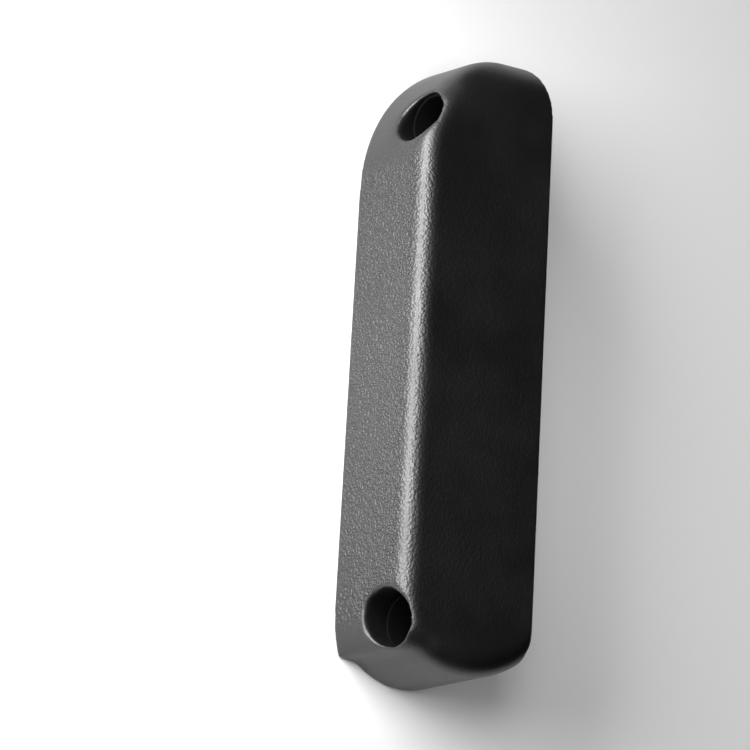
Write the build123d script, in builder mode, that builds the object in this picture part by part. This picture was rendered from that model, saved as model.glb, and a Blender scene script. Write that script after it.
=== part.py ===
"""Chair armrest pad: a soft moulded body on a stiff backing plate, fixed by two deep-set screws.

Frame: the origin is midway between the two screw holes, on the mounting face.
+X runs along the pad to its rear end, +Y points out of the mounting face, and +Z points up
to the surface that the forearm rests on. All sizes are in millimetres. Where a size is a pair,
the first is at the underside of the pad and the second at its top.
"""

import os
from math import cos, radians, sin, sqrt, tan

from build123d import *

os.makedirs("parts", exist_ok=True)

# Screws
hole_spacing = 190.0
screw_hole_radius = 4.5
head_pocket_radius = 9.5
head_seat_depth = 26.0  # from the mounting face to the seat under the screw head

# Moulded body
pad_depth = 54.6  # from the mounting face to the outer face
underside_drop = 26.0  # below the screw axes
top_rise_back = 21.8  # above the screw axes, at the mounting side
top_rise_outer = 10.7  # above the screw axes, at the outer face
top_edge_radius = 8.6
mouth_radius = 10.2

# Front nose, where the outer face curves round to the mounting side
nose_start_behind_hole = (25.0, 15.0)
nose_radius = (64.0, 44.5)
nose_turn = (78.0, 88.0)  # degrees
nose_corner_radius = 28.0  # in side view, between the nose and the top

# Rear end: the outer face rolls off, then the end wall drops, flares a little and turns back in
roll_start_before_hole = (4.0, 10.0)
roll_radius = (46.0, 30.0)
rear_overhang_outer = (12.2, 10.6)  # past the rear hole's centre
rear_overhang_back = (12.6, 10.4)
flare_start_depth = 46.3  # from the mounting face
flare_end_depth = 42.4
flare_width = 1.1

# Backing plate, let into the back of the body and standing a little proud of it
plate_thickness = 3.0
plate_reveal = 1.0
plate_inset = 1.5
plate_corner_radius = 2.0
plate_top_corner_radius = 11.0  # at the rear end, where the body's rounded top edge comes through

# Screw spacers, with a flange that seats the screw head, and liners of the pockets above them
spacer_radius = 8.5
flange_thickness = 3.0
liner_wall = 1.4
liner_lip_depth = 43.0  # from the mounting face

# Worked out from the sizes above
levels = (-underside_drop, top_rise_back)
outer_y = -pad_depth
back_y = -plate_reveal
hole_x = hole_spacing / 2
nose_start_x = [behind - hole_x for behind in nose_start_behind_hole]
nose_end = [
    (start - radius * sin(radians(turn)), outer_y + radius * (1 - cos(radians(turn))))
    for start, radius, turn in zip(nose_start_x, nose_radius, nose_turn)
]
front_x = [x - (back_y - y) / tan(radians(turn)) for (x, y), turn in zip(nose_end, nose_turn)]
roll_start_x = [hole_x - before for before in roll_start_before_hole]
rear_outer_x = [hole_x + overhang for overhang in rear_overhang_outer]
rear_back_x = [hole_x + overhang for overhang in rear_overhang_back]
roll_end_y = [
    outer_y + radius - sqrt(radius**2 - (end - start) ** 2)
    for start, end, radius in zip(roll_start_x, rear_outer_x, roll_radius)
]
along_top = (0, outer_y - back_y, top_rise_outer - top_rise_back)  # down its slope
liner_radius = head_pocket_radius + liner_wall
flange_depth = head_seat_depth - flange_thickness

# Outline of the backing plate: it follows the back of the body, a little inside it
with BuildSketch() as plate_outline:
    with BuildLine():
        Polyline(
            (front_x[0], levels[0]),
            (rear_back_x[0], levels[0]),
            (rear_back_x[1], levels[1]),
            (front_x[1], levels[1]),
            close=True,
        )
    make_face()
    fillet(plate_outline.vertices().group_by(Axis.Y)[-1].sort_by(Axis.X)[0], nose_corner_radius)
    fillet(plate_outline.vertices().group_by(Axis.Y)[-1].sort_by(Axis.X)[-1], plate_top_corner_radius)
    offset(amount=-plate_inset, kind=Kind.INTERSECTION)
    fillet(plate_outline.vertices().group_by(Axis.Y)[0], plate_corner_radius)

# Backing plate: a flat strip with the two screw holes
with BuildPart() as backing_plate:
    with BuildSketch(Plane.XZ):
        add(plate_outline.sketch)
        with GridLocations(hole_spacing, 0, 2, 1):
            Circle(screw_hole_radius, mode=Mode.SUBTRACT)
    extrude(amount=plate_thickness)

backing_plate.part.label = "backing_plate"
export_step(backing_plate.part, "parts/backing_plate.step")

for end, end_x in (("front", -hole_x), ("rear", hole_x)):
    # Screw spacer: a flanged tube that stands on the backing plate
    with BuildPart() as screw_spacer:
        for radius, start_depth, end_depth in (
            (spacer_radius, plate_thickness, flange_depth),
            (liner_radius, flange_depth, head_seat_depth),
        ):
            with BuildSketch(Plane.XZ.offset(start_depth)):
                with Locations((end_x, 0)):
                    Circle(radius)
                    Circle(screw_hole_radius, mode=Mode.SUBTRACT)
            extrude(amount=end_depth - start_depth)

    screw_spacer.part.label = f"{end}_screw_spacer"
    export_step(screw_spacer.part, f"parts/{end}_screw_spacer.step")

    # Pocket liner: a plain tube that stands on the spacer's flange
    with BuildPart() as pocket_liner:
        with BuildSketch(Plane.XZ.offset(head_seat_depth)):
            with Locations((end_x, 0)):
                Circle(liner_radius)
                Circle(head_pocket_radius, mode=Mode.SUBTRACT)
        extrude(amount=liner_lip_depth - head_seat_depth)

    pocket_liner.part.label = f"{end}_pocket_liner"
    export_step(pocket_liner.part, f"parts/{end}_pocket_liner.step")

# Moulded body
with BuildPart() as pad_moulding:
    # Plan sections at the underside and at the top, joined by straight walls
    for i, level in enumerate(levels):
        with BuildSketch(Plane.XY.offset(level)):
            with BuildLine():
                outer_edge = Line((nose_start_x[i], outer_y), (roll_start_x[i], outer_y))
                roll_end = (rear_outer_x[i], roll_end_y[i])
                roll = TangentArc(outer_edge @ 1, roll_end, tangent=outer_edge % 1)
                rear_wall = Line(roll @ 1, (rear_outer_x[i], -flare_start_depth))
                flare_end = (rear_outer_x[i] + flare_width, -flare_end_depth)
                flare = TangentArc(rear_wall @ 1, flare_end, tangent=rear_wall % 1)
                lower_wall = TangentArc(flare @ 1, (rear_back_x[i], back_y), tangent=flare % 1)
                back_edge = Line(lower_wall @ 1, (front_x[i], back_y))
                nose_side = Line(back_edge @ 1, nose_end[i])
                TangentArc(nose_side @ 1, outer_edge @ 0, tangent=nose_side % 1)
            make_face()
    loft(ruled=True)

    # The top slopes down towards the outer face
    with BuildSketch(Plane.YZ):
        with BuildLine():
            Polyline(
                (back_y, -underside_drop),
                (outer_y, -underside_drop),
                (outer_y, top_rise_outer),
                (back_y, top_rise_back),
                close=True,
            )
        make_face()
    extrude(amount=hole_spacing, both=True, mode=Mode.INTERSECT)

    # The top edge is rounded along the outer face and both ends, and stays crisp at the back
    top_face = pad_moulding.faces().sort_by(Axis.Z)[-1]
    fillet(top_face.edges().sort_by(Axis.Y)[:-1], top_edge_radius)

    # In side view, the nose rounds over into the top
    with BuildSketch(Plane((front_x[1], back_y, top_rise_back), (1, 0, 0), along_top)):
        with BuildLine():
            corner = FilletPolyline(
                (front_x[0] - front_x[1], levels[0] - levels[1]),
                (0, 0),
                (2 * nose_corner_radius, 0),
                radius=nose_corner_radius,
                mode=Mode.PRIVATE,
            )
            corner_arc = corner.edges().filter_by(GeomType.CIRCLE)[0]
            add(corner_arc)
            Polyline(corner_arc @ 1, (-plate_thickness, plate_thickness), corner_arc @ 0)
        make_face()
    extrude(amount=pad_depth, both=True, mode=Mode.SUBTRACT)

    # Pocket for the backing plate
    with BuildSketch(Plane.XZ):
        add(plate_outline.sketch)
    extrude(amount=plate_thickness, mode=Mode.SUBTRACT)

    # Seats for the spacers and liners, and the mouths in the outer face
    for radius, start_depth, end_depth in (
        (spacer_radius, plate_thickness, flange_depth),
        (liner_radius, flange_depth, liner_lip_depth),
        (mouth_radius, liner_lip_depth, pad_depth),
    ):
        with BuildSketch(Plane.XZ.offset(start_depth)):
            with GridLocations(hole_spacing, 0, 2, 1):
                Circle(radius)
        extrude(amount=end_depth - start_depth, mode=Mode.SUBTRACT)

pad_moulding.part.label = "pad_moulding"
export_step(pad_moulding.part, "parts/pad_moulding.step")
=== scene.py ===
"""Chair armrest pad: its looks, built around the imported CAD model, in metres and in its frame.

+X runs to the pad's rear end, +Y out of its mounting face, and +Z up to its arm-resting top.
"""

from math import radians

import bpy
import numpy as np
from mathutils import Matrix, Vector


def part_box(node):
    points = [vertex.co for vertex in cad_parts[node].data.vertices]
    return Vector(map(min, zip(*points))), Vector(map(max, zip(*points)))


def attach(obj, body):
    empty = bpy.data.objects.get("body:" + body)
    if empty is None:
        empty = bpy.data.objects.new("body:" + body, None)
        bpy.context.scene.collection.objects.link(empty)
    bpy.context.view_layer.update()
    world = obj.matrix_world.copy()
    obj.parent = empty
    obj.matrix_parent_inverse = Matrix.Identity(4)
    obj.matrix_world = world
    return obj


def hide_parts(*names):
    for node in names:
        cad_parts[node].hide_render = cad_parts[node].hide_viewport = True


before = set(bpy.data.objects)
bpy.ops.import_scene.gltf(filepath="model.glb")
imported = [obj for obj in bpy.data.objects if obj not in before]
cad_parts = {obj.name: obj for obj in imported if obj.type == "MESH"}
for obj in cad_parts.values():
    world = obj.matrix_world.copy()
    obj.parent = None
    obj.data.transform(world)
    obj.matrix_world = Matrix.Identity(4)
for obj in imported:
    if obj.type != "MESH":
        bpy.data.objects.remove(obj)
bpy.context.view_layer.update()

MM = 0.001

# The photograph's view
CAMERA_SPOT = Vector((0.3103, -0.7570, 0.8030))
CAMERA_FORWARD = Vector((-0.2736, 0.6285, -0.7281))
CAMERA_UP = Vector((-0.9603, -0.2213, 0.1699))
CAMERA_LENS = 147.2
CAMERA_CLIP_END = 50.0

# The moulded body, as the CAD has it
UNDERSIDE_Z = -26.0 * MM
PAD_HEIGHT = 48.0 * MM
SCREW_X = 95.0 * MM
MOUTH_RADIUS = 10.2 * MM
REAR_EDGE_FOOT = (107.0 * MM, -51.7 * MM)  # X and Y, where the end wall meets the outer face
REAR_EDGE_LEAN = (-1.6 * MM, 5.3 * MM)  # from the underside to the top

# Remeshing of the skin, and the rounds of smoothing on all of it, at its ends and on the rims
SKIN_VOXEL = 0.6 * MM
SKIN_SMOOTHING = 10
END_SMOOTHING = 150
RIM_SMOOTHING = 24
SMOOTHING_SHARE = 0.5
BACK_SMOOTHING_SHARE = 0.1

# Look of the skin
SKIN_COLOUR = (0.003, 0.003, 0.0031)
SKIN_ROUGHNESS = 0.4
SKIN_SPECULAR = 1.0

# Its grain: where it fades out, and its depth on the ridge and the top against the outer face's
GRAIN_SIZE = 1.05 * MM
GRAIN_DEPTH = 0.8 * MM
FRONT_GRAIN_END, FRONT_GRAIN_FULL = -86.0 * MM, -72.0 * MM
REAR_GRAIN_FULL, REAR_GRAIN_END = 88.0 * MM, 104.0 * MM
RIM_GRAIN_END, RIM_GRAIN_FULL = 10.8 * MM, 12.5 * MM
RIDGE_GRAIN_SHARE = 0.17
TOP_GRAIN_SHARE = 0.07
LEAST_GRAIN_SHARE = 0.08

# Look of the stiff pieces
PLATE_COLOUR = (0.012, 0.012, 0.013)
POCKET_COLOUR = (0.003, 0.003, 0.003)

FLOOR_SIZE = 8.0
FLOOR_COLOUR = (0.86, 0.86, 0.86, 1.0)
WORLD_COLOUR = (0.009, 0.009, 0.009, 1.0)


# Meshes


def new_object(name, data):
    piece = bpy.data.objects.new(name, data)
    bpy.context.scene.collection.objects.link(piece)
    return piece


def apply_modifiers(piece):
    """Makes the piece's modifiers part of its mesh."""
    depsgraph = bpy.context.evaluated_depsgraph_get()
    mesh = bpy.data.meshes.new_from_object(piece.evaluated_get(depsgraph))
    piece.modifiers.clear()
    piece.data = mesh


def read_points(mesh):
    points = np.empty(len(mesh.vertices) * 3)
    mesh.vertices.foreach_get("co", points)
    return points.reshape(-1, 3)


def write_points(mesh, points):
    mesh.vertices.foreach_set("co", points.ravel())
    mesh.update()


def smooth_points(mesh, points, rounds, share):
    """Moves each point towards the middle of its neighbours, round after round, by its share."""
    ends = np.empty(len(mesh.edges) * 2, dtype=np.int64)
    mesh.edges.foreach_get("vertices", ends)
    one, other = ends.reshape(-1, 2).T
    count = len(points)
    neighbours = np.bincount(one, minlength=count) + np.bincount(other, minlength=count)
    for _ in range(rounds):
        total = np.empty_like(points)
        for axis in range(3):
            total[:, axis] = np.bincount(one, points[other, axis], count)
            total[:, axis] += np.bincount(other, points[one, axis], count)
        points = points + share[:, None] * (total / neighbours[:, None] - points)
    return points


# Materials


class Nodes:
    """A material's node tree, with short calls to add and link its nodes."""

    def __init__(self, name):
        self.material = bpy.data.materials.new(name)
        self.material.use_nodes = True
        self.tree = self.material.node_tree
        self.shader = self.tree.nodes["Principled BSDF"]

    def add(self, kind, inputs=None, **settings):
        node = self.tree.nodes.new(kind)
        for key, value in settings.items():
            setattr(node, key, value)
        for key, value in (inputs or {}).items():
            self.feed(node, key, value)
        return node

    def feed(self, node, key, value):
        socket = node.inputs[key]
        if isinstance(value, bpy.types.NodeSocket):
            self.tree.links.new(value, socket)
        else:
            socket.default_value = value

    def maths(self, operation, *values):
        inputs = dict(enumerate(values))
        return self.add("ShaderNodeMath", inputs, operation=operation).outputs[0]

    def vector_maths(self, operation, first, second):
        """SCALE takes a number as its second input, and the others take a vector."""
        inputs = {0: first, 3 if operation == "SCALE" else 1: second}
        return self.add("ShaderNodeVectorMath", inputs, operation=operation).outputs[0]

    def ramp(self, value, low, high, to_low=0.0, to_high=1.0, smooth=True):
        kind = "SMOOTHSTEP" if smooth else "LINEAR"
        inputs = {"Value": value, "From Min": low, "From Max": high, "To Min": to_low, "To Max": to_high}
        return self.add("ShaderNodeMapRange", inputs, interpolation_type=kind).outputs[0]

    def noise(self, scale, vector, detail=2.0, roughness=0.5):
        inputs = {"Vector": vector, "Scale": scale, "Detail": detail, "Roughness": roughness}
        return self.add("ShaderNodeTexNoise", inputs)


def grain_nodes(n, place):
    """The grain's pebbles, 0 at the middle of each, and its height with fine pores added."""
    wander = n.noise(0.35 / GRAIN_SIZE, place, detail=1.0).outputs["Color"]
    wander = n.vector_maths("SUBTRACT", wander, (0.5, 0.5, 0.5))
    wander = n.vector_maths("SCALE", wander, 1.2 * GRAIN_SIZE)
    grain_place = n.vector_maths("ADD", place, wander)
    pebbles = n.add(
        "ShaderNodeTexVoronoi",
        {"Vector": grain_place, "Scale": 1.0 / GRAIN_SIZE, "Smoothness": 0.35, "Randomness": 1.0},
        feature="SMOOTH_F1",
    ).outputs["Distance"]
    pores = n.noise(3.2 / GRAIN_SIZE, place, detail=3.0, roughness=0.6).outputs["Fac"]
    height = n.maths("SUBTRACT", 0.8, pebbles)
    height = n.maths("ADD", height, n.maths("MULTIPLY", pores, 0.25))
    return pebbles, height


def grain_share_node(n, place):
    """Fades the grain at both ends and round the mouths; it is deepest on the outer face."""
    split = n.add("ShaderNodeSeparateXYZ", {0: place}).outputs
    from_screw = n.maths("SUBTRACT", n.maths("ABSOLUTE", split["X"]), SCREW_X)
    from_screw = n.add("ShaderNodeCombineXYZ", {"X": from_screw, "Y": 0.0, "Z": split["Z"]})
    from_screw = n.add("ShaderNodeVectorMath", {0: from_screw.outputs[0]}, operation="LENGTH")
    normal = n.add("ShaderNodeNewGeometry").outputs["Normal"]
    facing_up = n.add("ShaderNodeSeparateXYZ", {0: normal}).outputs["Z"]
    fades = (
        n.ramp(split["X"], REAR_GRAIN_FULL, REAR_GRAIN_END, 1.0, 0.0),
        n.ramp(from_screw.outputs["Value"], RIM_GRAIN_END, RIM_GRAIN_FULL),
        n.ramp(facing_up, 0.1, 0.45, 1.0, RIDGE_GRAIN_SHARE),
        n.ramp(facing_up, 0.75, 0.97, 1.0, TOP_GRAIN_SHARE / RIDGE_GRAIN_SHARE),
    )
    share = n.ramp(split["X"], FRONT_GRAIN_END, FRONT_GRAIN_FULL)
    for fade_node in fades:
        share = n.maths("MULTIPLY", share, fade_node)
    return n.ramp(share, 0.0, 1.0, LEAST_GRAIN_SHARE, 1.0, smooth=False)


def skin_material():
    """Black integral-skin foam with a fine leather-like grain, its colour painted darker in the hollows
    between pebbles as painted shade.
    """
    n = Nodes("soft_skin")
    place = n.add("ShaderNodeTexCoord").outputs["Object"]
    pebbles, height = grain_nodes(n, place)
    bump = {"Strength": grain_share_node(n, place), "Distance": GRAIN_DEPTH, "Height": height}
    n.feed(n.shader, "Normal", n.add("ShaderNodeBump", bump).outputs[0])

    patches = n.noise(38.0, place, detail=3.0).outputs["Fac"]
    roughness = n.ramp(patches, 0.3, 0.7, SKIN_ROUGHNESS - 0.03, SKIN_ROUGHNESS + 0.03)
    roughness = n.maths("ADD", roughness, n.maths("MULTIPLY", pebbles, 0.05))
    n.feed(n.shader, "Roughness", roughness)

    # The tone varies at random in patches, and the hollows between the grain's pebbles are painted
    # darker: painted shade in the grain.
    tone = n.ramp(patches, 0.3, 0.7, 0.9, 1.1)
    tone = n.maths("MULTIPLY", tone, n.ramp(pebbles, 0.1, 0.6, 1.1, 0.8))
    n.feed(n.shader, "Base Color", n.vector_maths("SCALE", SKIN_COLOUR, tone))
    n.shader.inputs["Specular IOR Level"].default_value = SKIN_SPECULAR
    return n.material


def plastic_material(name, colour, roughness, specular, texture_size, texture_depth):
    """Black moulded plastic with a fine spark-eroded texture."""
    n = Nodes(name)
    place = n.add("ShaderNodeTexCoord").outputs["Object"]
    speckle = n.noise(1.0 / texture_size, place, detail=4.0, roughness=0.7).outputs["Fac"]
    bump = {"Strength": 0.6, "Distance": texture_depth, "Height": speckle}
    n.feed(n.shader, "Normal", n.add("ShaderNodeBump", bump).outputs[0])
    patches = n.noise(55.0, place, detail=2.0).outputs["Fac"]
    n.feed(n.shader, "Roughness", n.ramp(patches, 0.3, 0.7, roughness - 0.05, roughness + 0.05))
    tone = n.ramp(patches, 0.3, 0.7, 0.85, 1.15)
    n.feed(n.shader, "Base Color", n.vector_maths("SCALE", colour, tone))
    n.shader.inputs["Specular IOR Level"].default_value = specular
    return n.material


def floor_material():
    n = Nodes("pale_floor")
    n.shader.inputs["Base Color"].default_value = FLOOR_COLOUR
    n.shader.inputs["Roughness"].default_value = 0.9
    return n.material


# Pieces


def finish_piece(piece, node, material):
    """Puts a piece in the place of a CAD node, with its material."""
    piece.data.materials.clear()
    piece.data.materials.append(material)
    piece.data.shade_smooth()
    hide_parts(node)
    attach(piece, "root")


def fade(values, low, high):
    """0 at low, 1 at high, and smooth between them."""
    share = np.clip((values - low) / (high - low), 0.0, 1.0)
    return share * share * (3.0 - 2.0 * share)


def from_screw_axis(points):
    """How far each point is from the axis of the nearer screw."""
    return np.hypot(np.abs(points[:, 0]) - SCREW_X, points[:, 2])


def end_share(points):
    """Where the ends blend into the faces beside them, away from the mouths and the back's rim."""
    x, y, z = points.T
    clear = fade(from_screw_axis(points), 10.8 * MM, 13.0 * MM) * fade(-y, 3.0 * MM, 9.0 * MM)
    rise = (z - UNDERSIDE_Z) / PAD_HEIGHT
    edge_x, edge_y = (foot + rise * lean for foot, lean in zip(REAR_EDGE_FOOT, REAR_EDGE_LEAN))
    near_edge = fade(-np.hypot(x - edge_x, y - edge_y), -9.0 * MM, -3.0 * MM)
    rear = near_edge * fade(z, UNDERSIDE_Z, -19.0 * MM)
    nose = fade(-x, 98.0 * MM, 106.0 * MM) * fade(z, 0.0, 8.0 * MM)
    return clear * np.maximum(rear, nose)


def rim_share(points):
    """Round the mouths' rims."""
    from_rim = np.abs(from_screw_axis(points) - MOUTH_RADIUS)
    return fade(-from_rim, -2.4 * MM, -1.0 * MM) * fade(-points[:, 1], 40.0 * MM, 44.0 * MM)


def make_skin():
    """The moulded body: its ends blended, its rims rounded and its other edges eased."""
    node = "pad_moulding"
    skin = new_object("pad_skin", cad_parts[node].data.copy())
    remesh = skin.modifiers.new("remesh", "REMESH")
    remesh.mode = "VOXEL"
    remesh.voxel_size = SKIN_VOXEL
    apply_modifiers(skin)

    points = read_points(skin.data)
    points = smooth_points(skin.data, points, END_SMOOTHING, SMOOTHING_SHARE * end_share(points))
    points = smooth_points(skin.data, points, RIM_SMOOTHING, SMOOTHING_SHARE * rim_share(points))
    # The thin rim round the backing plate is smoothed less, so that it doesn't shrink
    from_back = fade(-points[:, 1], 2.5 * MM, 7.0 * MM)
    ease = BACK_SMOOTHING_SHARE + (SMOOTHING_SHARE - BACK_SMOOTHING_SHARE) * from_back
    points = smooth_points(skin.data, points, SKIN_SMOOTHING, ease)
    write_points(skin.data, points)
    finish_piece(skin, node, skin_material())


def make_eased(name, node, material, edge_width):
    """A stiff piece with its sharp edges eased by a small bevel."""
    piece = new_object(name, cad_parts[node].data.copy())
    weld = piece.modifiers.new("weld", "WELD")
    weld.merge_threshold = 0.005 * MM
    bevel = piece.modifiers.new("bevel", "BEVEL")
    bevel.width = edge_width
    bevel.segments = 3
    bevel.limit_method = "ANGLE"
    bevel.angle_limit = radians(50)
    apply_modifiers(piece)
    finish_piece(piece, node, material)


# Studio


def make_floor():
    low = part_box("pad_moulding")[0]
    bpy.ops.mesh.primitive_plane_add(size=FLOOR_SIZE, location=(0.0, 0.0, low.z))
    floor = bpy.context.object
    floor.name = "floor"
    floor.data.materials.append(floor_material())
    return floor


def add_softbox(name, spot, size, power, target=(0.0, 0.0, 0.0), spread=180.0, only_on=None):
    """A rectangular area light that faces its target and may light one object only."""
    lamp = bpy.data.lights.new(name, "AREA")
    lamp.shape = "RECTANGLE"
    lamp.size, lamp.size_y = size
    lamp.energy = power
    lamp.spread = radians(spread)
    softbox = new_object(name, lamp)
    softbox.location = spot
    softbox.rotation_euler = (Vector(target) - softbox.location).to_track_quat("-Z", "Y").to_euler()
    softbox.visible_camera = False
    if only_on:
        lit = bpy.data.collections.new(f"{name}_lights")
        lit.objects.link(only_on)
        softbox.light_linking.receiver_collection = lit


def light_studio(floor):
    """A low key light along the ridge, and light on the floor that the outer face mirrors."""
    add_softbox("key_softbox", spot=(-0.25, -0.81, 0.30), size=(0.9, 0.36), power=16.0)
    add_softbox("upper_softbox", spot=(-0.05, -0.66, 0.60), size=(0.9, 0.3), power=2.2)
    add_softbox(
        "near_floor_softbox",
        spot=(0.0, -0.17, 0.20),
        size=(0.16, 0.12),
        power=0.17,
        target=(0.0, -0.10, -0.03),
        spread=80.0,
        only_on=floor,
    )
    add_softbox(
        "back_floor_softbox",
        spot=(0.05, 0.45, 0.80),
        size=(0.6, 0.4),
        power=0.9,
        target=(0.05, 0.38, -0.03),
        spread=100.0,
        only_on=floor,
    )
    world = bpy.data.worlds.new("studio")
    world.use_nodes = True
    world.node_tree.nodes["Background"].inputs["Color"].default_value = WORLD_COLOUR
    bpy.context.scene.world = world


def add_camera():
    camera = new_object("camera", bpy.data.cameras.new("camera"))
    camera.data.lens = CAMERA_LENS
    camera.data.clip_end = CAMERA_CLIP_END
    back = -CAMERA_FORWARD.normalized()
    right = CAMERA_UP.cross(back).normalized()
    up = back.cross(right)
    axes = Matrix((right, up, back)).transposed()
    camera.matrix_world = Matrix.Translation(CAMERA_SPOT) @ axes.to_4x4()
    bpy.context.scene.camera = camera


make_skin()
plate_plastic = plastic_material(
    "plate_plastic",
    colour=PLATE_COLOUR,
    roughness=0.55,
    specular=0.3,
    texture_size=0.6 * MM,
    texture_depth=0.06 * MM,
)
make_eased("plate", "backing_plate", plate_plastic, edge_width=0.4 * MM)
pocket_plastic = plastic_material(
    "pocket_plastic",
    colour=POCKET_COLOUR,
    roughness=0.75,
    specular=0.08,
    texture_size=1.2 * MM,
    texture_depth=0.02 * MM,
)
for end in ("front", "rear"):
    for kind in ("screw_spacer", "pocket_liner"):
        node = f"{end}_{kind}"
        make_eased(f"{node}_skin", node, pocket_plastic, edge_width=0.3 * MM)

light_studio(make_floor())
add_camera()
bpy.context.scene.view_settings.view_transform = "Standard"
